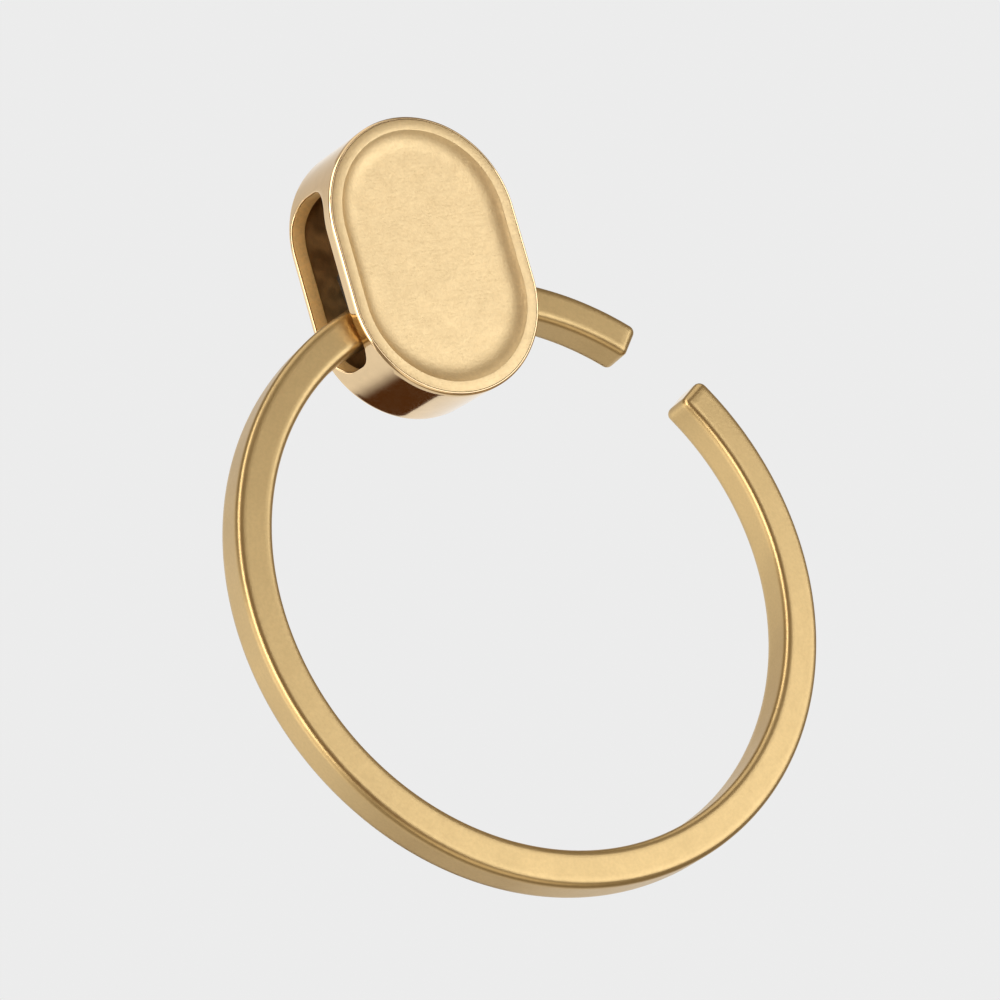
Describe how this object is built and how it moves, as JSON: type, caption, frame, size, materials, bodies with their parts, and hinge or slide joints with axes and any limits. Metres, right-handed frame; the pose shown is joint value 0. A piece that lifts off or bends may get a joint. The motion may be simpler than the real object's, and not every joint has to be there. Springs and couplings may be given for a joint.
{
  "type": "key ring with sliding closure",
  "caption": "Open round key ring of rounded rectangular bar, with a hollow oval closure that slides round it and has a shallow dish in its front.",
  "frame": {"origin": "centre of the open ring, on its axis", "axes": "+Y along the ring's axis towards its plain back, so the dished front faces -Y; +Z from the ring's centre to the closure; +X across the closure, towards the ring's gap"},
  "size_m": [0.034, 0.007, 0.0431],
  "materials": {
    "ring_bar": "satin pale gold plate",
    "closure_case": "polished pale gold plate",
    "closure_cover": "fine satin pale gold plate",
    "lock_metal": "as machined",
    "shoe_polymer": "black moulded acetal",
    "spring_steel": "drawn spring wire"
  },
  "bodies": {
    "ring": {"split_ring": "ring_bar"},
    "shoe": {"pressure_shoe": "shoe_polymer"},
    "spring": {"return_spring": "spring_steel"},
    "closure": {"closure_body": "closure_case", "front_cover": "closure_cover", "lock_block": "lock_metal"}
  },
  "joints": [
    {"name": "closure_orbit", "type": "hinge", "parent": "ring", "child": "shoe", "pos_m": [0, 0, 0], "axis": [0, 1, 0], "continuous": true},
    {"name": "closure_lean", "type": "hinge", "parent": "shoe", "child": "spring", "pos_m": [0, 0, 0.016], "axis": [1, 0, 0], "range_deg": [-13, 2.5]},
    {"name": "closure_press", "type": "slide", "parent": "spring", "child": "closure", "axis": [0, 0.1392, -0.9903], "range_m": [0, 0.0012], "stiffness_N_per_m": 200, "springref_m": -0.003, "deforming": ["return_spring"]}
  ]
}
